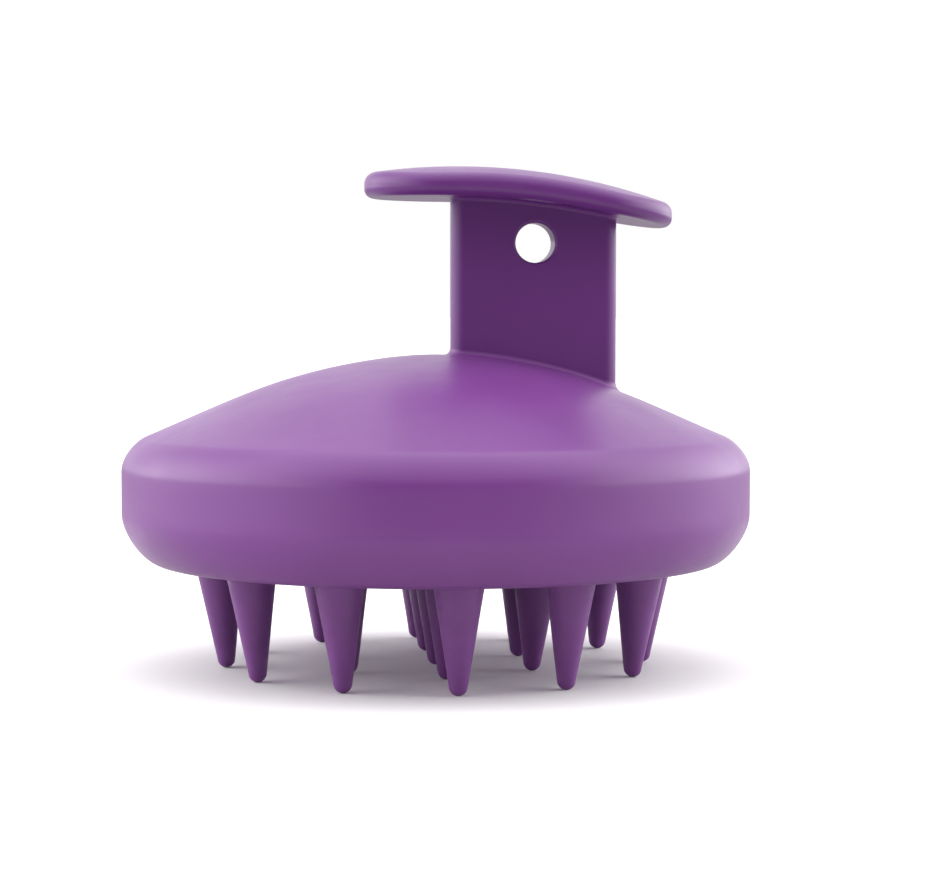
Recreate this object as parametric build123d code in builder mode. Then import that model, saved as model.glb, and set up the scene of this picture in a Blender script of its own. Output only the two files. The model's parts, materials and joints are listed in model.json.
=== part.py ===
from build123d import *
import math
import os

# Hand-held scalp and grooming brush: a round domed body with a T-handle that
# stands off to one side of its centre, and 19 flexible silicone teeth below.
#
# Millimetres. The origin is on the floor under the middle of the round body,
# where the tooth tips stand. +Z is up, and +X points from the middle of the
# body to the side that the handle stands on. The handle is a plate in XZ.

os.makedirs("parts", exist_ok=True)

# ---------------------------------------------------------------- dimensions

# whole brush
BODY_RADIUS = 39.5
OVERALL_HEIGHT = 63.0

# top shell: the dome falls from its top to the flare by DOME_POINTS, as (radius, fall), then
# turns over the shoulder into the upright wall, which turns in again to the rim's lowest edge
APEX_Z = 39.4
DOME_POINTS = [(0, 0), (10, 1.0), (20, 3.5), (29, 7.05), (36.5, 10.3)]
DOME_END_SLOPE = (2.4, -1)
DOME_WALL = 2.5            # measured straight down
SHOULDER_LEAD = 1.3        # how far the shoulder runs on along the flare
SHOULDER_TAIL = 1.8        # and along the upright wall
RIM_WALL_HIGH_Z = 24.9     # the outer wall is upright between these two heights
RIM_WALL_LOW_Z = 19.6
RIM_EDGE_Z = 13.4
RIM_EDGE_RADIUS = 34.8     # the round turn-in ends here
RIM_FULLNESS = 0.41        # 0 is a straight chamfer, 0.55 a quarter round
MOUTH_RADIUS = 34.4        # inner wall of the rim
HOLLOW_WALL_TOP_Z = 24.6   # the inner wall is upright up to here

# handle
STEM_X = 12.4              # middle of the stem
STEM_WIDTH = 21.0
STEM_THICKNESS = 4.4
STEM_CORNER = 1.6
TENON_BOTTOM_Z = 26.4
CAP_X = 10.5               # middle of the thumb rest, along X
CAP_LENGTH = 39.0
CAP_DEPTH = 20.0
CAP_THICKNESS = 3.65       # between the highest points of its two faces
CAP_TOP_X = 3.0            # highest point of its upper face, and the radius of that arch
CAP_TOP_ARCH = 78.0
CAP_UNDER_X = 0.5          # and of its lower face, which is flatter
CAP_UNDER_ARCH = 102.0
CAP_CROWN = 34.0           # radius of the upper face across the thumb rest
CAP_TOP_EDGE = 1.5
CAP_UNDER_EDGE = 1.15
CAP_CORNER_RADIUS = 0.6    # where the stem meets it
HANG_HOLE_RADIUS = 2.5
HANG_HOLE_Z = 53.4
HANG_HOLE_RIM = 0.4

# joint between the handle and the shell
SLOT_CLEARANCE = 0.15
COLLAR_WIDTH = 1.1
COLLAR_RISE = 0.9
COLLAR_EDGE_RADIUS = 0.7
SOCKET_WALL = 2.0
SOCKET_FLOOR = 2.2
HANDLE_SCREW_SPREAD = 5.8  # either side of the stem's middle

# backing plate
PLATE_BOTTOM_Z = 15.6
PLATE_THICKNESS = 2.0
PLATE_RADIUS = 32.6
PLATE_SCREW_CIRCLE = 20.5
PLATE_SCREW_ANGLES = [43, 137, 223, 317]
PLATE_BOSS_RADIUS = 2.9
PLATE_SEAT_GAP = 0.05      # between the plate and the screw bosses

# silicone pad
PAD_FACE_Z = 13.8          # the face that the teeth stand out of
PAD_SHEET_TOP_Z = 15.5
PAD_RADIUS = 34.2
PLUG_RADIUS = 4.1
PLUG_HEAD_RADIUS = 4.6
PLUG_HEAD_TAPER = 25.0     # degrees
PLUG_CLEARANCE = 0.1
PAD_LIP_CLEARANCE = 0.2    # between the plate's edge and the pad's turned-up edge
PLUG_TOP_Z = 19.0

# teeth
TOOTH_ROOT_RADIUS = 3.1
TOOTH_TIP_RADIUS = 1.1
TOOTH_SOCKET_GAP = 0.2
OUTER_COUNT = 12
OUTER_ROOT_CIRCLE = 27.4
OUTER_TIP_CIRCLE = 26.5
INNER_COUNT = 6
INNER_ROOT_CIRCLE = 13.8
INNER_TIP_CIRCLE = 13.2
INNER_START = 30.0         # degrees, from +X

# self-tapping screws
SCREW_SHANK_RADIUS = 1.4
SCREW_PILOT_RADIUS = 1.45
SCREW_CLEARANCE_RADIUS = 1.7
SCREW_HEAD_RADIUS = 2.8
SCREW_HEAD_EDGE = 0.5
SCREW_HEAD_CLEARANCE = 0.1
SCREW_HEAD_TAPER = 45.0    # degrees, of a countersunk head
SCREW_RECESS = 0.7         # depth and width of the cross recess
SCREW_RECESS_REACH = 1.4
HANDLE_SCREW_LENGTH = 10.0
HANDLE_SCREW_HEAD = 1.6
PLATE_SCREW_LENGTH = 9.0
PLATE_SCREW_HEAD = 1.4

# edges and lengths that differ by less than this are the same one
SAME = 0.01

# ------------------------------------------------------------ derived values

CAP_TOP_CENTRE = Vector(CAP_TOP_X, 0, OVERALL_HEIGHT - CAP_TOP_ARCH)
CROWN_SWEEP = (62, 46)     # first angle and turn of the arch, well past both ends of the cap
CAP_UNDER_CENTRE = Vector(CAP_UNDER_X, 0, OVERALL_HEIGHT - CAP_THICKNESS - CAP_UNDER_ARCH)
SOCKET_BOTTOM_Z = TENON_BOTTOM_Z - SOCKET_FLOOR
PLATE_TOP_Z = PLATE_BOTTOM_Z + PLATE_THICKNESS
PLUG_HOLE_RADIUS = PLUG_RADIUS + PLUG_CLEARANCE
TOOTH_SOCKET_RADIUS = TOOTH_ROOT_RADIUS + TOOTH_SOCKET_GAP

OUTER_ANGLES = [360 / OUTER_COUNT * i for i in range(OUTER_COUNT)]
INNER_ANGLES = [INNER_START + 360 / INNER_COUNT * i for i in range(INNER_COUNT)]
HANDLE_SCREW_SPOTS = [(STEM_X + side * HANDLE_SCREW_SPREAD, 0) for side in (-1, 1)]


def on_circle(radius, degrees, z):
    """The point at this radius, angle from +X, and height."""
    turn = math.radians(degrees)
    return Vector(radius * math.cos(turn), radius * math.sin(turn), z)


def spots(radius, angles):
    """The plan positions at these angles on a circle."""
    return [(on_circle(radius, angle, 0).X, on_circle(radius, angle, 0).Y) for angle in angles]


PLATE_SCREW_SPOTS = spots(PLATE_SCREW_CIRCLE, PLATE_SCREW_ANGLES)
TOOTH_SPOTS = [(0, 0)]
TOOTH_SPOTS += spots(OUTER_ROOT_CIRCLE, OUTER_ANGLES)
TOOTH_SPOTS += spots(INNER_ROOT_CIRCLE, INNER_ANGLES)


def save(part, name):
    part.label = name
    export_step(part, f"parts/{name}.step")


def dome_curve(drop):
    """The dome's half section, lowered by drop, from the top to the flare above the shoulder.

    It is round at the top and a little hollow where it flares towards the rim.
    """
    points = [(r, APEX_Z - fall - drop) for r, fall in DOME_POINTS]
    return Spline(points, tangents=[(1, 0), DOME_END_SLOPE])


def dome_block(drop):
    """Everything from the floor up to the dome lowered by drop."""
    with BuildPart() as block:
        with BuildSketch(Plane.XZ):
            with BuildLine():
                crown = dome_curve(drop)
                Polyline(crown @ 1, ((crown @ 1).X, 0), (0, 0), crown @ 0)
            make_face()
        revolve(axis=Axis.Z)
    return block.part


def stem_outline(margin):
    """The stem's rounded rectangle with a margin all round, for the sketch that is open."""
    with Locations((STEM_X, 0)):
        RectangleRounded(
            STEM_WIDTH + 2 * margin, STEM_THICKNESS + 2 * margin, STEM_CORNER + margin
        )


# --------------------------------------------------------------- the handle

# A barrel that lies along X. Its upper side is the face that the thumb lies on.
with BuildPart() as crown:
    with BuildSketch(Plane.XZ):
        with BuildLine():
            axis_z = OVERALL_HEIGHT - CAP_CROWN
            arch = CenterArc((CAP_TOP_CENTRE.X, CAP_TOP_CENTRE.Z), CAP_TOP_ARCH, *CROWN_SWEEP)
            Polyline(arch @ 1, ((arch @ 1).X, axis_z), ((arch @ 0).X, axis_z), arch @ 0)
        make_face()
    revolve(axis=Axis((0, 0, axis_z), (1, 0, 0)))

# The thumb rest: an oval plate, arched along its length and crowned across it.
with BuildPart() as cap:
    with BuildSketch(Plane.XY.offset(APEX_Z)):
        with Locations((CAP_X, 0)):
            SlotOverall(CAP_LENGTH, CAP_DEPTH)
    extrude(amount=OVERALL_HEIGHT - APEX_Z)
    add(crown.part, mode=Mode.INTERSECT)
    with Locations(CAP_UNDER_CENTRE):
        Sphere(CAP_UNDER_ARCH, mode=Mode.SUBTRACT)
    fillet(cap.faces().sort_by(Axis.Z)[-1].edges(), radius=CAP_TOP_EDGE)
    fillet(cap.faces().sort_by(Axis.Z)[0].edges(), radius=CAP_UNDER_EDGE)

# The stem runs from inside the shell up into the cap, and carries the hanging hole.
with BuildPart() as handle:
    with BuildSketch(Plane.XY.offset(TENON_BOTTOM_Z)):
        stem_outline(0)
    extrude(amount=OVERALL_HEIGHT - TENON_BOTTOM_Z)
    with Locations(CAP_TOP_CENTRE):
        Sphere(CAP_TOP_ARCH - CAP_THICKNESS / 2, mode=Mode.INTERSECT)
    add(cap.part)
    corner = handle.edges().filter_by(
        lambda edge: abs((edge @ 0.5 - CAP_UNDER_CENTRE).length - CAP_UNDER_ARCH) < SAME
    ).filter_by(lambda edge: abs((edge @ 0.5).Y) < STEM_THICKNESS)
    fillet(corner, radius=CAP_CORNER_RADIUS)
    with Locations(Plane(origin=(STEM_X, 0, HANG_HOLE_Z), z_dir=(0, 1, 0))):
        Hole(radius=HANG_HOLE_RADIUS)
    rims = handle.edges().filter_by(GeomType.CIRCLE).filter_by(
        lambda edge: abs(edge.radius - HANG_HOLE_RADIUS) < SAME
    )
    fillet(rims, radius=HANG_HOLE_RIM)
    with BuildSketch(Plane.XY.offset(TENON_BOTTOM_Z)):
        with Locations(HANDLE_SCREW_SPOTS):
            Circle(SCREW_PILOT_RADIUS)
    extrude(amount=HANDLE_SCREW_LENGTH, mode=Mode.SUBTRACT)
save(handle.part, "handle")

# ------------------------------------------------------------ the top shell

# The socket that holds the stem's tenon, from its floor up through the dome to a low collar.
with BuildPart() as socket:
    with BuildSketch(Plane.XY.offset(SOCKET_BOTTOM_Z)):
        stem_outline(SLOT_CLEARANCE + SOCKET_WALL)
    extrude(amount=APEX_Z - SOCKET_BOTTOM_Z)
    add(dome_block(DOME_WALL / 2), mode=Mode.INTERSECT)

with BuildPart() as collar:
    with BuildSketch(Plane.XY.offset(TENON_BOTTOM_Z)):
        stem_outline(SLOT_CLEARANCE + COLLAR_WIDTH)
    extrude(amount=APEX_Z + COLLAR_RISE - TENON_BOTTOM_Z)
    add(dome_block(-COLLAR_RISE), mode=Mode.INTERSECT)
    fillet(collar.faces().sort_by(Axis.Z)[-1].edges(), radius=COLLAR_EDGE_RADIUS)

with BuildPart() as plate_bosses:
    with BuildSketch(Plane.XY.offset(PLATE_TOP_Z + PLATE_SEAT_GAP)):
        with Locations(PLATE_SCREW_SPOTS):
            Circle(PLATE_BOSS_RADIUS)
    extrude(amount=APEX_Z - PLATE_TOP_Z)
    add(dome_block(DOME_WALL / 2), mode=Mode.INTERSECT)

with BuildPart() as top_shell:
    # outer form: dome, soft shoulder, upright wall and the round turn-in at the rim
    with BuildSketch(Plane.XZ):
        with BuildLine():
            dome = dome_curve(0)
            shoulder = Bezier(
                dome @ 1,
                dome @ 1 + Vector(DOME_END_SLOPE).normalized() * SHOULDER_LEAD,
                (BODY_RADIUS, RIM_WALL_HIGH_Z + SHOULDER_TAIL),
                (BODY_RADIUS, RIM_WALL_HIGH_Z),
            )
            wall = Line(shoulder @ 1, (BODY_RADIUS, RIM_WALL_LOW_Z))
            turn_in = Bezier(
                wall @ 1,
                (BODY_RADIUS, RIM_WALL_LOW_Z - RIM_FULLNESS * (RIM_WALL_LOW_Z - RIM_EDGE_Z)),
                (RIM_EDGE_RADIUS + RIM_FULLNESS * (BODY_RADIUS - RIM_EDGE_RADIUS), RIM_EDGE_Z),
                (RIM_EDGE_RADIUS, RIM_EDGE_Z),
            )
            Polyline(turn_in @ 1, (0, RIM_EDGE_Z), (0, APEX_Z))
        make_face()
    revolve(axis=Axis.Z)

    # the hollow, open below
    with BuildSketch(Plane.XZ):
        with BuildLine():
            ceiling = Spline(
                [(r, APEX_Z - fall - DOME_WALL) for r, fall in DOME_POINTS[:-1]],
                tangents=[(1, 0), DOME_END_SLOPE],
            )
            haunch = Spline(
                [ceiling @ 1, (MOUTH_RADIUS, HOLLOW_WALL_TOP_Z)],
                tangents=[DOME_END_SLOPE, (0, -1)],
            )
            Polyline(haunch @ 1, (MOUTH_RADIUS, 0), (0, 0), ceiling @ 0)
        make_face()
    revolve(axis=Axis.Z, mode=Mode.SUBTRACT)

    add(socket.part)
    add(collar.part)
    add(plate_bosses.part)

    # the slot for the stem, with two screw holes through its floor, and the bosses' pilot holes
    with BuildSketch(Plane.XY.offset(TENON_BOTTOM_Z - SLOT_CLEARANCE)):
        stem_outline(SLOT_CLEARANCE)
    extrude(amount=APEX_Z, mode=Mode.SUBTRACT)
    with BuildSketch(Plane.XY.offset(SOCKET_BOTTOM_Z)):
        with Locations(HANDLE_SCREW_SPOTS):
            Circle(SCREW_CLEARANCE_RADIUS)
    extrude(amount=SOCKET_FLOOR, mode=Mode.SUBTRACT)
    with BuildSketch(Plane.XY.offset(PLATE_TOP_Z)):
        with Locations(PLATE_SCREW_SPOTS):
            Circle(SCREW_PILOT_RADIUS)
    extrude(amount=PLATE_SCREW_LENGTH, mode=Mode.SUBTRACT)
save(top_shell.part, "top_shell")

# ------------------------------------------------------- the backing plate

with BuildPart() as backing_plate:
    with BuildSketch(Plane.XY.offset(PLATE_BOTTOM_Z)):
        Circle(PLATE_RADIUS)
        with Locations(TOOTH_SPOTS):
            Circle(PLUG_HOLE_RADIUS, mode=Mode.SUBTRACT)
    extrude(amount=PLATE_THICKNESS)
    with Locations([(x, y, PLATE_BOTTOM_Z) for x, y in PLATE_SCREW_SPOTS]):
        with Locations(Rotation(180, 0, 0)):
            CounterSinkHole(
                SCREW_CLEARANCE_RADIUS,
                SCREW_HEAD_RADIUS + SCREW_HEAD_CLEARANCE,
                depth=PLATE_THICKNESS,
            )
save(backing_plate.part, "backing_plate")

# -------------------------------------------------------- the silicone pad

# A thin round sheet. Its edge turns up into the gap between the plate and the rim, and a
# plug over each tooth passes through the plate and swells into a head that holds the pad.
with BuildPart() as silicone_pad:
    with BuildSketch(Plane.XY.offset(PAD_FACE_Z)):
        Circle(PAD_RADIUS)
    extrude(amount=PAD_SHEET_TOP_Z - PAD_FACE_Z)
    with BuildSketch(Plane.XY.offset(PAD_SHEET_TOP_Z)):
        Circle(PAD_RADIUS)
        Circle(PLATE_RADIUS + PAD_LIP_CLEARANCE, mode=Mode.SUBTRACT)
    extrude(amount=PLATE_TOP_Z - PAD_SHEET_TOP_Z)
    with BuildSketch(Plane.XY.offset(PAD_SHEET_TOP_Z)):
        with Locations(TOOTH_SPOTS):
            Circle(PLUG_RADIUS)
    extrude(amount=PLUG_TOP_Z - PAD_SHEET_TOP_Z)
    with BuildSketch(Plane.XY.offset(PLATE_TOP_Z + PLATE_SEAT_GAP)):
        with Locations(TOOTH_SPOTS):
            Circle(PLUG_HEAD_RADIUS)
    extrude(amount=PLUG_TOP_Z - PLATE_TOP_Z - PLATE_SEAT_GAP, taper=PLUG_HEAD_TAPER)
    with Locations([(x, y, PAD_FACE_Z) for x, y in TOOTH_SPOTS]):
        Sphere(TOOTH_SOCKET_RADIUS, mode=Mode.SUBTRACT)
save(silicone_pad.part, "silicone_pad")


# -------------------------------------------------------------- the teeth


def make_tooth(name, degrees, root_circle, tip_circle):
    """One tooth: a round root, a cone that touches it smoothly, and a round tip on the floor."""
    root = on_circle(root_circle, degrees, PAD_FACE_Z)
    tip = on_circle(tip_circle, degrees, TOOTH_TIP_RADIUS)
    sideways = on_circle(1, degrees + 90, 0)
    reach = (root - tip).length
    cone = math.asin((TOOTH_ROOT_RADIUS - TOOTH_TIP_RADIUS) / reach)
    up = (root - tip).normalized()
    half_plane = Plane(origin=root, x_dir=sideways.cross(up), z_dir=sideways * -1)
    root_touch = (TOOTH_ROOT_RADIUS * math.cos(cone), -TOOTH_ROOT_RADIUS * math.sin(cone))
    tip_touch = (
        TOOTH_TIP_RADIUS * math.cos(cone),
        -reach - TOOTH_TIP_RADIUS * math.sin(cone),
    )
    with BuildPart() as tooth:
        with BuildSketch(half_plane):
            with BuildLine():
                crown = RadiusArc((0, TOOTH_ROOT_RADIUS), root_touch, TOOTH_ROOT_RADIUS)
                side = Line(crown @ 1, tip_touch)
                foot = RadiusArc(side @ 1, (0, -reach - TOOTH_TIP_RADIUS), TOOTH_TIP_RADIUS)
                Line(foot @ 1, crown @ 0)
            make_face()
        revolve(axis=Axis(root, up))
    save(tooth.part, name)


make_tooth("tooth_centre", 0, 0, 0)
for i, angle in enumerate(OUTER_ANGLES, start=1):
    make_tooth(f"tooth_outer_{i:02d}", angle, OUTER_ROOT_CIRCLE, OUTER_TIP_CIRCLE)
for i, angle in enumerate(INNER_ANGLES, start=1):
    make_tooth(f"tooth_inner_{i}", angle, INNER_ROOT_CIRCLE, INNER_TIP_CIRCLE)

# ------------------------------------------------------------- the screws


def driver_cross():
    """The cross of a screwdriver's recess, for the sketch that is open."""
    Rectangle(2 * SCREW_RECESS_REACH, SCREW_RECESS)
    Rectangle(SCREW_RECESS, 2 * SCREW_RECESS_REACH)


# Round-headed screws, driven up through the socket's floor into the end of the stem.
with BuildPart() as handle_screws:
    head_z = SOCKET_BOTTOM_Z - HANDLE_SCREW_HEAD
    with BuildSketch(Plane.XY.offset(head_z)):
        with Locations(HANDLE_SCREW_SPOTS):
            Circle(SCREW_HEAD_RADIUS)
    extrude(amount=HANDLE_SCREW_HEAD)
    chamfer(handle_screws.faces().sort_by(Axis.Z)[0].edges(), length=SCREW_HEAD_EDGE)
    with BuildSketch(Plane.XY.offset(SOCKET_BOTTOM_Z)):
        with Locations(HANDLE_SCREW_SPOTS):
            Circle(SCREW_SHANK_RADIUS)
    extrude(amount=HANDLE_SCREW_LENGTH)
    with BuildSketch(Plane.XY.offset(head_z)):
        with Locations(HANDLE_SCREW_SPOTS):
            driver_cross()
    extrude(amount=SCREW_RECESS, mode=Mode.SUBTRACT)
save(handle_screws.part, "handle_screws")

# Countersunk screws, driven up through the backing plate into the shell's bosses.
with BuildPart() as plate_screws:
    with BuildSketch(Plane.XY.offset(PLATE_BOTTOM_Z)):
        with Locations(PLATE_SCREW_SPOTS):
            Circle(SCREW_HEAD_RADIUS)
    extrude(amount=PLATE_SCREW_HEAD, taper=SCREW_HEAD_TAPER)
    with BuildSketch(Plane.XY.offset(PLATE_BOTTOM_Z)):
        with Locations(PLATE_SCREW_SPOTS):
            Circle(SCREW_SHANK_RADIUS)
    extrude(amount=PLATE_SCREW_LENGTH)
    with BuildSketch(Plane.XY.offset(PLATE_BOTTOM_Z)):
        with Locations(PLATE_SCREW_SPOTS):
            driver_cross()
    extrude(amount=SCREW_RECESS, mode=Mode.SUBTRACT)
save(plate_screws.part, "plate_screws")
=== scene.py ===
import json
import math

import bmesh
import bpy
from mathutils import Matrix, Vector


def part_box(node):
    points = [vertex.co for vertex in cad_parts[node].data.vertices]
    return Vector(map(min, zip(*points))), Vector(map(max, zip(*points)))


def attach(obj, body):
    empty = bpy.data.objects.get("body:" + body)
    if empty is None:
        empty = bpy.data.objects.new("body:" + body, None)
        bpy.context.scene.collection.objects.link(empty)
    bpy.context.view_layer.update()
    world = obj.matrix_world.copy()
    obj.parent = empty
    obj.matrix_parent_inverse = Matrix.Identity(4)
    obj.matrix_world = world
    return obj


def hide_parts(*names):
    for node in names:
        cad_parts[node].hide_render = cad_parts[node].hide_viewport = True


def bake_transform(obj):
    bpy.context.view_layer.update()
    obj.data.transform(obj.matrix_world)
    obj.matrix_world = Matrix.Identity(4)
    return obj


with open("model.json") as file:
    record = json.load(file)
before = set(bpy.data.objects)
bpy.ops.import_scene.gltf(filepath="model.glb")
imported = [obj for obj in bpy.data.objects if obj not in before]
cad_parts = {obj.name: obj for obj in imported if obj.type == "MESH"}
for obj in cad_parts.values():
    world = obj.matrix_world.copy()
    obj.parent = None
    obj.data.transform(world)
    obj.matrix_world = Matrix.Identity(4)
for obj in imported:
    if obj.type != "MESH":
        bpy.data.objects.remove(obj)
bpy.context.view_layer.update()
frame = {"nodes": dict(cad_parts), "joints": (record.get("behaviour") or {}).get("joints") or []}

# Shapes are worked out in millimetres, and MM turns them to metres as they are made.
MM = 0.001

# ---------------------------------------------------------------- dimensions

BODY_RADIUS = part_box("top_shell")[1].x / MM
RIM_EDGE_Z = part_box("top_shell")[0].z / MM
STEM_BOTTOM_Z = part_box("handle")[0].z / MM
PAD_FACE_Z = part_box("silicone_pad")[0].z / MM
PLUG_TOP_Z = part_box("silicone_pad")[1].z / MM
PAD_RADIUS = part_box("silicone_pad")[1].x / MM
PLATE_LOW_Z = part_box("backing_plate")[0].z / MM
PLATE_HIGH_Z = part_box("backing_plate")[1].z / MM
PLATE_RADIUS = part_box("backing_plate")[1].x / MM

# the dome's curve: radius, height and slope at each of its knots
DOME_KNOTS = [
    (0, 39.4, 0),
    (10, 38.4, -0.181),
    (20, 35.9, -0.331),
    (29, 32.35, -0.436),
    (36.5, 29.1, -0.417),
]
DOME_WALL = 2.5              # measured straight down

# the outside of the rim: shoulder, upright wall and round turn-in
SHOULDER_LEAD = 1.3          # how far the shoulder runs on along the dome's last slope
SHOULDER_TAIL = 1.8          # and along the upright wall
RIM_WALL_HIGH_Z = 24.9
RIM_WALL_LOW_Z = 19.6
RIM_EDGE_RADIUS = 34.8
RIM_FULLNESS = 0.41          # 0 is a straight chamfer, 0.55 a quarter round

# the inside of the rim, up to where it meets the dome's ceiling
MOUTH_RADIUS = 34.4
MOUTH_LIP = 0.4              # height of the rounding at the mouth's edge
HOLLOW_WALL_TOP_Z = 24.6
HOLLOW_WALL_LEAD = 2.0       # how far the inner wall runs on up, as it turns into the ceiling
CEILING_RADIUS = 29.0
CEILING_LEAD_OUT = 2.5       # how far the ceiling runs on out into the same turn
CEILING_LEAD_DOWN = 1.0      # and down

# the stem's rounded rectangle, and the foot where the shell sweeps up to meet it
STEM_X = 12.4
STEM_HALF = Vector((10.5, 2.2))
STEM_CORNER = 1.6
SEAM = 0.06                  # gap round the stem, and above and below the socket's floor
FOOT_SWEEP = 0.75            # radius of the sweep
SOCKET_WALL = 2.0
SOCKET_FLOOR = 2.2

# the bosses that the plate's screws go into
BOSS_CIRCLE = 20.5
BOSS_ANGLES = (43, 137, 223, 317)
BOSS_RADIUS = 2.9
PILOT_RADIUS = 1.45

# the pad, with its turned-up edge and its plugs
PAD_EDGE = 0.5
PLATE_GAP = 0.1              # between the plate and the sheet below it
PLATE_SEAT_GAP = 0.05        # between the plate and what sits on it
PLATE_EDGE_GAP = 0.2         # between the plate's edge and the pad's turned-up edge
PAD_SHEET_TOP_Z = PLATE_LOW_Z - PLATE_GAP
PLUG_RADIUS = 4.1
PLUG_SUNK = 0.4              # how deep a plug stands in the sheet
PLUG_HEAD_RADIUS = 4.6
PLUG_HEAD_TAPER = 0.5        # how much a head narrows towards its top
PLUG_HEAD_BEVEL = 0.3

# the teeth
TOOTH_ROOT_RADIUS = 3.1
TOOTH_TIP_RADIUS = 1.1
TOOTH_FLARE = 1.1            # radius of the flare at the root
TOOTH_SUNK = 0.25            # how deep a root stands in the sheet
OUTER_LEAN = 0.9             # how far a tip leans in towards the middle
INNER_LEAN = 0.6

# how many sides the round forms have
PAD_SIDES = 144
PLUG_SIDES = 40
BOSS_SIDES = 40
TOOTH_SIDES = 44

# ---------------------------------------------------------------- mesh tools


def circle(radius, height, count, centre=(0, 0)):
    """A level ring of points."""
    turns = (math.tau * i / count for i in range(count))
    return [
        (centre[0] + radius * math.cos(turn), centre[1] + radius * math.sin(turn), height)
        for turn in turns
    ]


def skin(rings, poles=None):
    """Vertices and faces between rings of equal length.

    With poles, the first and last ring close onto those two points. Without, they join.
    """
    count = len(rings[0])
    vertices = [point for ring in rings for point in ring]
    faces = []
    bands = len(rings) - 1 if poles else len(rings)
    for k in range(bands):
        here = k * count
        there = (k + 1) % len(rings) * count
        for i in range(count):
            j = (i + 1) % count
            faces.append((here + i, here + j, there + j, there + i))
    if poles:
        for pole, ring_start in zip(poles, (0, count * (len(rings) - 1))):
            vertices.append(pole)
            for i in range(count):
                faces.append((ring_start + i, ring_start + (i + 1) % count, len(vertices) - 1))
    return vertices, faces


def solid_of_turn(profile, count, centre=(0, 0)):
    """A closed form about an upright axis, from (radius, height) points that start and end on it."""
    (_, first), *middle, (_, last) = profile
    rings = [circle(radius, height, count, centre) for radius, height in middle]
    return skin(rings, poles=[(*centre, first), (*centre, last)])


def ring_of_turn(profile, count, centre=(0, 0)):
    """A closed form about an upright axis, from a closed loop of (radius, height) points."""
    return skin([circle(radius, height, count, centre) for radius, height in profile])


def bezier(a, b, c, d, steps):
    """The points of a cubic curve after a, up to d."""
    points = []
    for step in range(1, steps + 1):
        t = step / steps
        weights = ((1 - t) ** 3, 3 * (1 - t) ** 2 * t, 3 * (1 - t) * t * t, t ** 3)
        points.append(tuple(sum(w * p[k] for w, p in zip(weights, (a, b, c, d))) for k in range(2)))
    return points


def add_mesh(name, parts, sharp):
    """An object from (vertices, faces) parts in millimetres, smooth but for edges over sharp degrees."""
    form = bmesh.new()
    for vertices, faces in parts:
        made = [form.verts.new(Vector(point) * MM) for point in vertices]
        for face in faces:
            form.faces.new([made[i] for i in face])
    bmesh.ops.recalc_face_normals(form, faces=form.faces)
    mesh = bpy.data.meshes.new(name)
    form.to_mesh(mesh)
    form.free()
    mesh.shade_smooth()
    mesh.set_sharp_from_angle(angle=math.radians(sharp))
    piece = bpy.data.objects.new(name, mesh)
    bpy.context.scene.collection.objects.link(piece)
    return piece


# ------------------------------------------------------------------ the shell


def dome_height(radius):
    """The height of the dome at this radius, on a smooth curve through its knots."""
    for (r0, z0, s0), (r1, z1, s1) in zip(DOME_KNOTS, DOME_KNOTS[1:]):
        if radius <= r1:
            break
    span = r1 - r0
    t = (radius - r0) / span
    return (
        (2 * t ** 3 - 3 * t * t + 1) * z0
        + (t ** 3 - 2 * t * t + t) * span * s0
        + (3 * t * t - 2 * t ** 3) * z1
        + (t ** 3 - t * t) * span * s1
    )


def stem_outline(margin):
    """Points round the stem's rounded rectangle, this far outside it.

    The same index is the same place on the outline at every margin.
    """
    end_steps = 24
    corner_steps = 16
    side_steps = 64
    reach = STEM_HALF - Vector((STEM_CORNER, STEM_CORNER))
    outline = []
    for sx, sy, steps in ((1, 1, side_steps), (-1, 1, end_steps), (-1, -1, side_steps), (1, -1, end_steps)):
        centre = Vector((STEM_X + sx * reach.x, sy * reach.y))
        first = math.atan2(sy, sx) - math.pi / 4
        for step in range(corner_steps):
            turn = first + math.pi / 2 * step / corner_steps
            outline.append(centre + (STEM_CORNER + margin) * Vector((math.cos(turn), math.sin(turn))))
        out = Vector((math.cos(first + math.pi / 2), math.sin(first + math.pi / 2)))
        along = Vector((-out.y, out.x))
        length = 2 * (reach.x if steps == side_steps else reach.y)
        for step in range(steps):
            outline.append(centre + (STEM_CORNER + margin) * out + along * length * step / steps)
    middle_of_end = end_steps // 2
    return outline[-middle_of_end:] + outline[:-middle_of_end]


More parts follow.
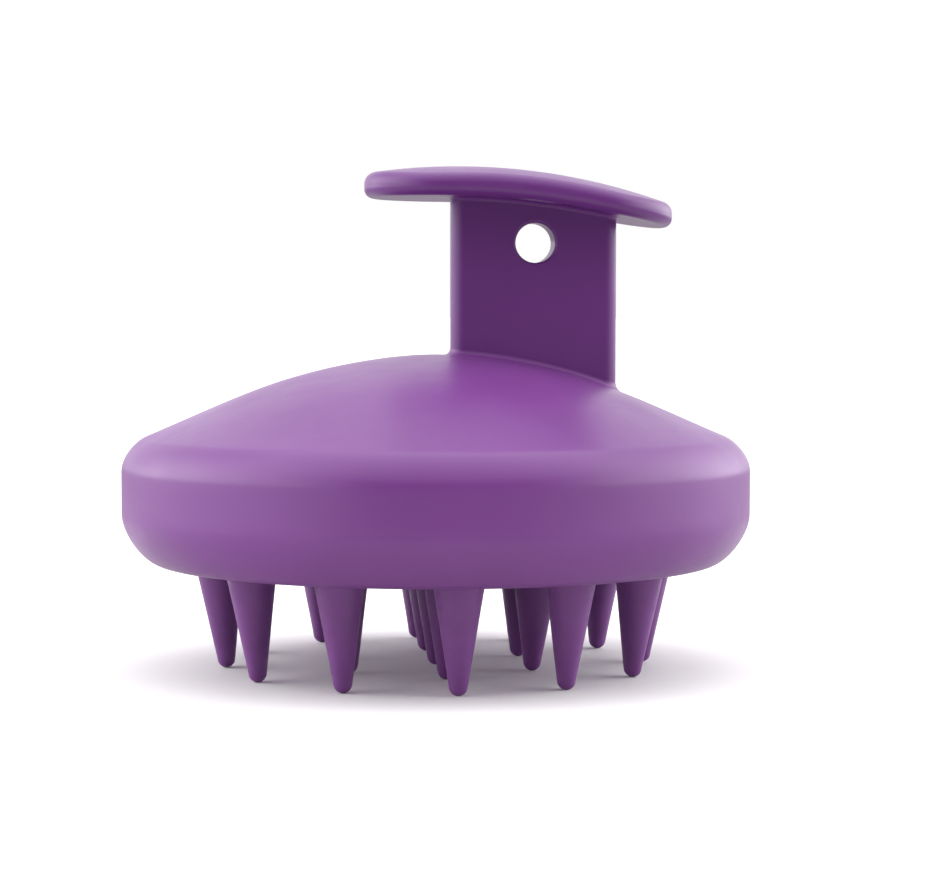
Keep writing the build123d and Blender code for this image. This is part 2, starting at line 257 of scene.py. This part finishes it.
def shell_profile():
    """(radius, height) points from the dome's last knot over the rim and up inside to the ceiling."""
    radius, height, slope = DOME_KNOTS[-1]
    flare = Vector((1, slope)).normalized() * SHOULDER_LEAD
    profile = bezier(
        (radius, height),
        (radius + flare.x, height + flare.y),
        (BODY_RADIUS, RIM_WALL_HIGH_Z + SHOULDER_TAIL),
        (BODY_RADIUS, RIM_WALL_HIGH_Z),
        steps=18,
    )
    wall_steps = 5
    for step in range(1, wall_steps + 1):
        fall = (RIM_WALL_HIGH_Z - RIM_WALL_LOW_Z) * step / wall_steps
        profile.append((BODY_RADIUS, RIM_WALL_HIGH_Z - fall))
    profile += bezier(
        (BODY_RADIUS, RIM_WALL_LOW_Z),
        (BODY_RADIUS, RIM_WALL_LOW_Z - RIM_FULLNESS * (RIM_WALL_LOW_Z - RIM_EDGE_Z)),
        (RIM_EDGE_RADIUS + RIM_FULLNESS * (BODY_RADIUS - RIM_EDGE_RADIUS), RIM_EDGE_Z),
        (RIM_EDGE_RADIUS, RIM_EDGE_Z),
        steps=18,
    )
    profile += bezier(
        (RIM_EDGE_RADIUS, RIM_EDGE_Z),
        (MOUTH_RADIUS, RIM_EDGE_Z),
        (MOUTH_RADIUS, RIM_EDGE_Z),
        (MOUTH_RADIUS, RIM_EDGE_Z + MOUTH_LIP),
        steps=5,
    )
    ceiling_z = dome_height(CEILING_RADIUS) - DOME_WALL
    profile.append((MOUTH_RADIUS, HOLLOW_WALL_TOP_Z))
    profile += bezier(
        (MOUTH_RADIUS, HOLLOW_WALL_TOP_Z),
        (MOUTH_RADIUS, HOLLOW_WALL_TOP_Z + HOLLOW_WALL_LEAD),
        (CEILING_RADIUS + CEILING_LEAD_OUT, ceiling_z - CEILING_LEAD_DOWN),
        (CEILING_RADIUS, ceiling_z),
        steps=8,
    )
    return profile


def shell_skin():
    """The dome, rim, hollow and socket as one closed skin, wound from the slot round to the slot."""
    slot_edge = stem_outline(SEAM)
    count = len(slot_edge)
    turns = [math.tau * i / count for i in range(count)]
    rings = []

    # the sweep from the stem out onto the dome
    sweep_steps = 9
    for step in range(sweep_steps):
        turn = math.pi / 2 * step / sweep_steps
        spots = stem_outline(SEAM + FOOT_SWEEP * (1 - math.cos(turn)))
        rise = FOOT_SWEEP * (1 - math.sin(turn))
        rings.append([(spot.x, spot.y, dome_height(spot.length) + rise) for spot in spots])

    # the dome, from the foot's outline to a circle at the last knot
    foot_edge = stem_outline(SEAM + FOOT_SWEEP)
    last_radius = DOME_KNOTS[-1][0]
    dome_steps = 44
    for step in range(dome_steps + 1):
        ring = []
        for spot, turn in zip(foot_edge, turns):
            edge = last_radius * Vector((math.cos(turn), math.sin(turn)))
            place = spot.lerp(edge, step / dome_steps)
            ring.append((place.x, place.y, dome_height(min(place.length, last_radius))))
        rings.append(ring)

    rings += [circle(radius, height, count) for radius, height in shell_profile()]

    # the ceiling, in to the socket, and down the socket's wall
    socket_edge = stem_outline(SEAM + SOCKET_WALL)
    ceiling_steps = 16
    for step in range(1, ceiling_steps + 1):
        ring = []
        for spot, turn in zip(socket_edge, turns):
            edge = CEILING_RADIUS * Vector((math.cos(turn), math.sin(turn)))
            place = edge.lerp(spot, step / ceiling_steps)
            ring.append((place.x, place.y, dome_height(place.length) - DOME_WALL))
        rings.append(ring)
    socket_z = STEM_BOTTOM_Z - SOCKET_FLOOR
    rings.append([(spot.x, spot.y, socket_z) for spot in socket_edge])
    rings.append([(spot.x, spot.y, socket_z) for spot in slot_edge])
    return skin(rings)


def socket_floor():
    """The slab under the stem. It has no screw holes, because the screws' shanks fill them."""
    high = STEM_BOTTOM_Z - SEAM
    low = STEM_BOTTOM_Z - SOCKET_FLOOR + SEAM
    outline = stem_outline(SEAM + SOCKET_WALL / 2)
    rings = [[(spot.x, spot.y, height) for spot in outline] for height in (high, low)]
    return skin(rings, poles=[(STEM_X, 0, high), (STEM_X, 0, low)])


def screw_boss(degrees):
    """A post with a pilot hole, from the plate up into the dome's wall."""
    turn = math.radians(degrees)
    centre = (BOSS_CIRCLE * math.cos(turn), BOSS_CIRCLE * math.sin(turn))
    foot = PLATE_HIGH_Z + PLATE_SEAT_GAP
    top = dome_height(BOSS_CIRCLE) - DOME_WALL / 2
    loop = [
        (BOSS_RADIUS, foot),
        (BOSS_RADIUS, top),
        (PILOT_RADIUS, top),
        (PILOT_RADIUS, foot),
    ]
    return ring_of_turn(loop, BOSS_SIDES, centre)


def make_shell():
    """The domed shell, with its socket and the bosses for the plate's screws."""
    parts = [shell_skin(), socket_floor()]
    parts += [screw_boss(degrees) for degrees in BOSS_ANGLES]
    shell = add_mesh("dome_shell", parts, sharp=40)
    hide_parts("top_shell")
    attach(shell, "body")
    return shell


# -------------------------------------------------------- the pad and the teeth


def pad_sheet():
    """The round sheet, with its edge turned up round the plate."""
    inner = PLATE_RADIUS + PLATE_EDGE_GAP
    profile = [(0, PAD_FACE_Z)]
    face_steps = 14
    for step in range(1, face_steps + 1):
        profile.append(((PAD_RADIUS - PAD_EDGE) * step / face_steps, PAD_FACE_Z))
    profile += bezier(
        (PAD_RADIUS - PAD_EDGE, PAD_FACE_Z),
        (PAD_RADIUS - PAD_EDGE / 2, PAD_FACE_Z),
        (PAD_RADIUS, PAD_FACE_Z + PAD_EDGE / 2),
        (PAD_RADIUS, PAD_FACE_Z + PAD_EDGE),
        steps=5,
    )
    profile += [(PAD_RADIUS, PLATE_HIGH_Z), (inner, PLATE_HIGH_Z), (inner, PAD_SHEET_TOP_Z)]
    profile += [(0, PAD_SHEET_TOP_Z)]
    return solid_of_turn(profile, PAD_SIDES)


def pad_plug(centre):
    """A plug that goes up through the plate, with a swollen head above it."""
    foot_z = PAD_SHEET_TOP_Z - PLUG_SUNK
    neck_z = PLATE_HIGH_Z + PLATE_SEAT_GAP
    head_edge = PLUG_HEAD_RADIUS - PLUG_HEAD_TAPER
    profile = [
        (0, foot_z),
        (PLUG_RADIUS, foot_z),
        (PLUG_RADIUS, neck_z),
        (PLUG_HEAD_RADIUS, neck_z),
        (head_edge, PLUG_TOP_Z - PLUG_HEAD_BEVEL),
        (head_edge - PLUG_HEAD_BEVEL, PLUG_TOP_Z),
        (0, PLUG_TOP_Z),
    ]
    return solid_of_turn(profile, PLUG_SIDES, centre)


def make_pad():
    """The silicone sheet, with a plug over each tooth."""
    parts = [pad_sheet()]
    for joint in frame["joints"]:
        x, y, _ = Vector(joint["pos_m"]) / MM
        parts.append(pad_plug((x, y)))
    pad = add_mesh("tooth_pad", parts, sharp=40)
    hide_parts("silicone_pad")
    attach(pad, "body")
    return pad


def tooth_profile(fall):
    """(radius, depth below the pad's face) down one tooth: flare, cone and round tip."""
    cone = math.asin((TOOTH_ROOT_RADIUS - TOOTH_TIP_RADIUS) / fall)
    low = fall + TOOTH_TIP_RADIUS * math.sin(cone)
    slope = math.tan(cone)
    low_radius = TOOTH_TIP_RADIUS * math.cos(cone)
    points = []
    flare_steps = 8
    for step in range(flare_steps):
        turn = math.pi / 2 * step / flare_steps
        depth = TOOTH_FLARE * (1 - math.cos(turn))
        points.append((low_radius + slope * (low - depth) + TOOTH_FLARE * (1 - math.sin(turn)), depth))
    cone_steps = 24
    for step in range(cone_steps + 1):
        depth = TOOTH_FLARE + (low - TOOTH_FLARE) * step / cone_steps
        points.append((low_radius + slope * (low - depth), depth))
    tip_steps = 9
    for step in range(1, tip_steps):
        turn = cone + (math.pi / 2 - cone) * step / tip_steps
        points.append((TOOTH_TIP_RADIUS * math.cos(turn), fall + TOOTH_TIP_RADIUS * math.sin(turn)))
    return points


def tooth_lean(ring_radius):
    """How far the tip of a tooth on this circle leans in. The one in the middle stands upright."""
    if ring_radius < TOOTH_ROOT_RADIUS:
        return 0
    return OUTER_LEAN if ring_radius > PLATE_RADIUS / 2 else INNER_LEAN


def make_tooth(joint):
    """One tooth, which flares out of the pad and leans in a little below it."""
    node = joint["child"]
    root = Vector(joint["pos_m"]) / MM
    lean = tooth_lean(root.xy.length)
    tip = Vector((*(root.xy - root.xy.normalized() * lean), TOOTH_TIP_RADIUS))
    fall = root.z - tip.z
    root_z = root.z + TOOTH_SUNK
    rings = [circle(TOOTH_ROOT_RADIUS + TOOTH_FLARE, root_z, TOOTH_SIDES, root.xy)]
    for radius, depth in tooth_profile(fall):
        centre = root.xy.lerp(tip.xy, min(1, depth / fall))
        rings.append(circle(radius, root.z - depth, TOOTH_SIDES, centre))
    poles = [(*root.xy, root_z), (*tip.xy, 0)]
    tooth = add_mesh(node.replace("tooth", "bristle"), [skin(rings, poles)], sharp=60)
    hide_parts(node)
    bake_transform(tooth)
    return tooth


# -------------------------------------------------------------- material tools


class Nodes:
    """Short names for building one node tree."""

    def __init__(self, tree):
        self.tree = tree
        tree.nodes.clear()

    def add(self, kind, **settings):
        node = self.tree.nodes.new(kind)
        for name, value in settings.items():
            setattr(node, name, value)
        return node

    def link(self, source, target):
        self.tree.links.new(source, target)

    def noise(self, place, scale, detail=2.0, roughness=0.5):
        """Soft random values from 0 to 1, about scale of them to a metre."""
        node = self.add("ShaderNodeTexNoise")
        node.inputs["Scale"].default_value = scale
        node.inputs["Detail"].default_value = detail
        node.inputs["Roughness"].default_value = roughness
        self.link(place, node.inputs["Vector"])
        return node.outputs["Fac"]

    def span(self, value, old, new):
        """value, moved smoothly from between the old limits to between the new ones."""
        node = self.add("ShaderNodeMapRange", interpolation_type="SMOOTHSTEP")
        for name, number in zip(("From Min", "From Max", "To Min", "To Max"), (*old, *new)):
            node.inputs[name].default_value = number
        self.link(value, node.inputs["Value"])
        return node.outputs["Result"]

    def calculate(self, operation, a, b):
        """One sum of two values, each a number or another node's output."""
        node = self.add("ShaderNodeMath", operation=operation)
        for socket, value in zip(node.inputs, (a, b)):
            if isinstance(value, (int, float)):
                socket.default_value = value
            else:
                self.link(value, socket)
        return node.outputs[0]

    def mix(self, factor, a, b):
        """A colour between a and b."""
        node = self.add("ShaderNodeMix", data_type="RGBA")
        self.link(factor, node.inputs["Factor"])
        for socket, colour in zip((node.inputs["A"], node.inputs["B"]), (a, b)):
            if isinstance(colour, tuple):
                socket.default_value = (*colour, 1)
            else:
                self.link(colour, socket)
        return node.outputs["Result"]

    def bump(self, height, distance, under=None):
        """A surface raised by up to distance metres, over the bump under it."""
        node = self.add("ShaderNodeBump")
        node.inputs["Distance"].default_value = distance
        node.inputs["Strength"].default_value = 1.0
        self.link(height, node.inputs["Height"])
        if under is not None:
            self.link(under, node.inputs["Normal"])
        return node.outputs["Normal"]

    def either(self, factor, a, b, output):
        """Show shader a where the factor is 0 and shader b where it is 1."""
        node = self.add("ShaderNodeMixShader")
        self.link(factor, node.inputs["Fac"])
        self.link(a, node.inputs[1])
        self.link(b, node.inputs[2])
        self.link(node.outputs["Shader"], output.inputs["Surface"])


def new_material(name):
    """A material's nodes, its shader, and the place of each point on the object."""
    material = bpy.data.materials.new(name)
    material.use_nodes = True
    nodes = Nodes(material.node_tree)
    shader = nodes.add("ShaderNodeBsdfPrincipled")
    output = nodes.add("ShaderNodeOutputMaterial")
    nodes.link(shader.outputs["BSDF"], output.inputs["Surface"])
    place = nodes.add("ShaderNodeTexCoord").outputs["Object"]
    return material, nodes, shader, place


def give(piece, material):
    """Make this the piece's only material."""
    piece.data.materials.clear()
    piece.data.materials.append(material)


# ------------------------------------------------------------------ materials

SHELL_PURPLE = (0.146, 0.037, 0.198)
# the shell's purple darkened: painted shade for the stem, which sits in shade under the cap
HANDLE_PURPLE_SHADED = (0.120, 0.028, 0.170)
SILICONE_PURPLE = (0.162, 0.047, 0.212)
STEEL_DULL = (0.50, 0.50, 0.52)
STEEL_BRIGHT = (0.70, 0.70, 0.71)
NOISE_SPAN = (0.3, 0.7)      # nearly all of a noise's values lie between these

# moulded plastic
PIGMENT_SHARE = 0.045        # how much of its colour varies
POLISH_CHANGE = 0.035        # how far handling changes its roughness, either way
HAIR_STRETCH = (1, 9, 3)     # hair scratches are noise, stretched and turned
HAIR_TURN = (0.4, 0.2, 0.7)
HAIR_SPAN = (0.70, 0.76)     # only the noise's peaks are scratches
HAIR_DULLNESS = 0.07         # what a scratch adds to the roughness
MOULD_WAVES = 0.00004        # depths, in metres
FINE_GRAIN = 0.000005
COARSE_GRAIN = 0.000012

# silicone
BLOOM_SHARE = 0.07           # how much of its colour varies
DUST_SPAN = (0.35, 0.7)
SILICONE_ROUGHNESS = (0.38, 0.52)
SILICONE_DIMPLES = 0.00003   # depths, in metres
SILICONE_GRAIN = 0.000006

# zinc-plated steel
STEEL_ROUGHNESS = (0.26, 0.42)
STEEL_MARKS = 0.000004       # depth, in metres


def cloudy(nodes, clouds, colour, share):
    """The colour, darker and lighter by this share as the clouds go from low to high."""
    dark = tuple(channel * (1 - share) for channel in colour)
    light = tuple(channel * (1 + share) for channel in colour)
    return nodes.mix(nodes.span(clouds, NOISE_SPAN, (0, 1)), dark, light)


def plastic_material(name, colour, roughness, gloss, grain):
    """Satin moulded plastic: cloudy pigment, a fine mould grain, handling polish and hair scratches."""
    material, nodes, shader, place = new_material(name)
    clouds = nodes.noise(place, scale=55, detail=3)
    nodes.link(cloudy(nodes, clouds, colour, PIGMENT_SHARE), shader.inputs["Base Color"])

    handled = nodes.noise(place, scale=90, detail=4, roughness=0.6)
    polish = nodes.span(handled, NOISE_SPAN, (-POLISH_CHANGE, POLISH_CHANGE))
    stretched = nodes.add("ShaderNodeMapping")
    stretched.inputs["Scale"].default_value = HAIR_STRETCH
    stretched.inputs["Rotation"].default_value = HAIR_TURN
    nodes.link(place, stretched.inputs["Vector"])
    streaks = nodes.noise(stretched.outputs["Vector"], scale=420, detail=1)
    hairs = nodes.span(streaks, HAIR_SPAN, (0, HAIR_DULLNESS))
    uneven = nodes.calculate("ADD", polish, hairs)
    nodes.link(nodes.calculate("ADD", uneven, roughness), shader.inputs["Roughness"])

    fine = nodes.noise(place, scale=5200, detail=2)
    waves = nodes.noise(place, scale=130, detail=1)
    waved = nodes.bump(waves, MOULD_WAVES)
    nodes.link(nodes.bump(fine, grain, under=waved), shader.inputs["Normal"])
    shader.inputs["Specular IOR Level"].default_value = gloss
    shader.inputs["IOR"].default_value = 1.5
    return material


def silicone_material():
    """Soft silicone: even colour with faint bloom, a matt skin, and some light passing through."""
    material, nodes, shader, place = new_material("purple_silicone")
    clouds = nodes.noise(place, scale=160, detail=4, roughness=0.6)
    nodes.link(cloudy(nodes, clouds, SILICONE_PURPLE, BLOOM_SHARE), shader.inputs["Base Color"])

    dust = nodes.noise(place, scale=900, detail=3, roughness=0.65)
    nodes.link(nodes.span(dust, DUST_SPAN, SILICONE_ROUGHNESS), shader.inputs["Roughness"])

    fine = nodes.noise(place, scale=3800, detail=2)
    dimples = nodes.noise(place, scale=260, detail=1)
    dimpled = nodes.bump(dimples, SILICONE_DIMPLES)
    nodes.link(nodes.bump(fine, SILICONE_GRAIN, under=dimpled), shader.inputs["Normal"])
    shader.inputs["Subsurface Weight"].default_value = 0.25
    shader.inputs["Subsurface Radius"].default_value = (0.9, 0.35, 1.0)
    shader.inputs["Subsurface Scale"].default_value = 0.0012
    shader.inputs["IOR"].default_value = 1.43
    return material


def steel_material():
    """Zinc-plated steel: bluish grey, with fine marks and dull spots."""
    material, nodes, shader, place = new_material("zinc_steel")
    spots = nodes.noise(place, scale=700, detail=4, roughness=0.6)
    brightness = nodes.span(spots, NOISE_SPAN, (0, 1))
    nodes.link(nodes.mix(brightness, STEEL_DULL, STEEL_BRIGHT), shader.inputs["Base Color"])
    nodes.link(nodes.span(spots, NOISE_SPAN, STEEL_ROUGHNESS), shader.inputs["Roughness"])
    marks = nodes.noise(place, scale=6000, detail=1)
    nodes.link(nodes.bump(marks, STEEL_MARKS), shader.inputs["Normal"])
    shader.inputs["Metallic"].default_value = 1.0
    return material


# the handle takes the darkened purple, so its stem carries painted shade
handle_plastic = plastic_material(
    "handle_plastic_satin", HANDLE_PURPLE_SHADED, roughness=0.34, gloss=0.34, grain=FINE_GRAIN
)
shell_plastic = plastic_material(
    "shell_plastic_satin", SHELL_PURPLE, roughness=0.36, gloss=0.38, grain=FINE_GRAIN
)
plate_plastic = plastic_material(
    "plate_plastic_plain", SHELL_PURPLE, roughness=0.50, gloss=0.38, grain=COARSE_GRAIN
)
silicone = silicone_material()
zinc_steel = steel_material()

# --------------------------------------------------------------- the assembly

give(make_shell(), shell_plastic)
give(make_pad(), silicone)
for joint in frame["joints"]:
    give(make_tooth(joint), silicone)
for node, material in (
    ("handle", handle_plastic),
    ("backing_plate", plate_plastic),
    ("handle_screws", zinc_steel),
    ("plate_screws", zinc_steel),
):
    give(frame["nodes"][node], material)

# ------------------------------------------------------------ floor and light

WHITE = (1.0, 1.0, 1.0)
FLOOR_HALF = 30.0            # metres
PAPER_DARK = (0.80, 0.79, 0.79)
PAPER_LIGHT = (0.82, 0.81, 0.81)
BOUNCE_NEAR = (0.60, 0.58, 0.58)     # the floor's colour as it lights the object, close by
BOUNCE_FAR = (0.25, 0.24, 0.24)      # and further off
BOUNCE_SPAN = (0.08, 0.35)   # metres from the middle of the floor

ROUND_LIGHT = 1.3            # strength of the studio all round, which fades out to the front
ROUND_SPAN = (-0.6, 0.15)    # along Y, where it fades in
SIDE_LIGHT = 3.5             # strength that both sides add
SIDE_SPAN = (0.45, 0.95)     # along X either way, where they fade in
SKY_STRENGTH = 2.1
SKY_SPREAD = 90              # degrees
SKY_TILT = 10                # degrees towards the front


def make_floor():
    """A wide pale sheet that the teeth stand on. It is clear from below."""
    mesh = bpy.data.meshes.new("studio_floor")
    corners = [(x * FLOOR_HALF, y * FLOOR_HALF, 0) for x, y in ((-1, -1), (1, -1), (1, 1), (-1, 1))]
    mesh.from_pydata(corners, [], [(0, 1, 2, 3)])
    floor = bpy.data.objects.new("studio_floor", mesh)
    bpy.context.scene.collection.objects.link(floor)
    material, nodes, shader, place = new_material("floor_paper")
    seen = nodes.add("ShaderNodeLightPath").outputs["Is Camera Ray"]
    paper = nodes.mix(nodes.noise(place, scale=40), PAPER_DARK, PAPER_LIGHT)
    reach = nodes.add("ShaderNodeVectorMath", operation="LENGTH")
    nodes.link(place, reach.inputs[0])
    away = nodes.span(reach.outputs["Value"], BOUNCE_SPAN, (0, 1))
    bounce = nodes.mix(away, BOUNCE_NEAR, BOUNCE_FAR)
    nodes.link(nodes.mix(seen, bounce, paper), shader.inputs["Base Color"])
    shader.inputs["Roughness"].default_value = 0.7
    shader.inputs["Specular IOR Level"].default_value = 0.15
    below = nodes.add("ShaderNodeNewGeometry").outputs["Backfacing"]
    clear = nodes.add("ShaderNodeBsdfTransparent")
    output = nodes.tree.get_output_node("ALL")
    nodes.either(below, shader.outputs["BSDF"], clear.outputs["BSDF"], output)
    give(floor, material)


def make_world():
    """A studio that looks white, but lights the object less from the front than from the sides."""
    world = bpy.data.worlds.new("studio")
    bpy.context.scene.world = world
    world.use_nodes = True
    nodes = Nodes(world.node_tree)
    direction = nodes.add("ShaderNodeTexCoord").outputs["Generated"]
    parts = nodes.add("ShaderNodeSeparateXYZ")
    nodes.link(direction, parts.inputs["Vector"])
    lit = nodes.add("ShaderNodeBackground")
    lit.inputs["Color"].default_value = (*WHITE, 1)
    round_light = nodes.span(parts.outputs["Y"], ROUND_SPAN, (0, ROUND_LIGHT))
    sideways = nodes.calculate("ABSOLUTE", parts.outputs["X"], 0)
    side_light = nodes.span(sideways, SIDE_SPAN, (0, SIDE_LIGHT))
    nodes.link(nodes.calculate("ADD", round_light, side_light), lit.inputs["Strength"])
    white = nodes.add("ShaderNodeBackground")
    white.inputs["Color"].default_value = (*WHITE, 1)
    white.inputs["Strength"].default_value = 1.0
    seen = nodes.add("ShaderNodeLightPath").outputs["Is Camera Ray"]
    output = nodes.add("ShaderNodeOutputWorld")
    nodes.either(seen, lit.outputs["Background"], white.outputs["Background"], output)


def make_overhead_light():
    """A very wide soft light from above, a little in front."""
    light = bpy.data.lights.new("overhead", "SUN")
    light.energy = SKY_STRENGTH
    light.angle = math.radians(SKY_SPREAD)
    lamp = bpy.data.objects.new("overhead", light)
    lamp.rotation_euler = (math.radians(SKY_TILT), 0, 0)
    bpy.context.scene.collection.objects.link(lamp)


make_floor()
make_world()
make_overhead_light()

# ----------------------------------------------------------------- the camera

CAMERA_AZIMUTH = math.radians(-5.7)
CAMERA_PITCH = math.radians(2.845)
CAMERA_DISTANCE = 0.314      # metres, level, from the object's upright axis
CAMERA_HEIGHT = 0.04434
CAMERA_SHIFT = 0.030         # as a share of the frame's width
SENSOR_WIDTH = 36
FOCAL_LENGTH = 96.5
CLIP_START = 0.01


def make_camera():
    """The camera, a little to the left of straight on and a little above the dome."""
    camera = bpy.data.cameras.new("camera")
    camera.sensor_fit = "HORIZONTAL"
    camera.sensor_width = SENSOR_WIDTH
    camera.lens = FOCAL_LENGTH
    camera.shift_x = CAMERA_SHIFT
    camera.clip_start = CLIP_START
    viewer = bpy.data.objects.new("camera", camera)
    viewer.location = (
        CAMERA_DISTANCE * math.sin(CAMERA_AZIMUTH),
        -CAMERA_DISTANCE * math.cos(CAMERA_AZIMUTH),
        CAMERA_HEIGHT,
    )
    viewer.rotation_euler = (math.pi / 2 - CAMERA_PITCH, 0, CAMERA_AZIMUTH)
    bpy.context.scene.collection.objects.link(viewer)
    bpy.context.scene.camera = viewer


make_camera()
bpy.context.scene.view_settings.view_transform = "Standard"
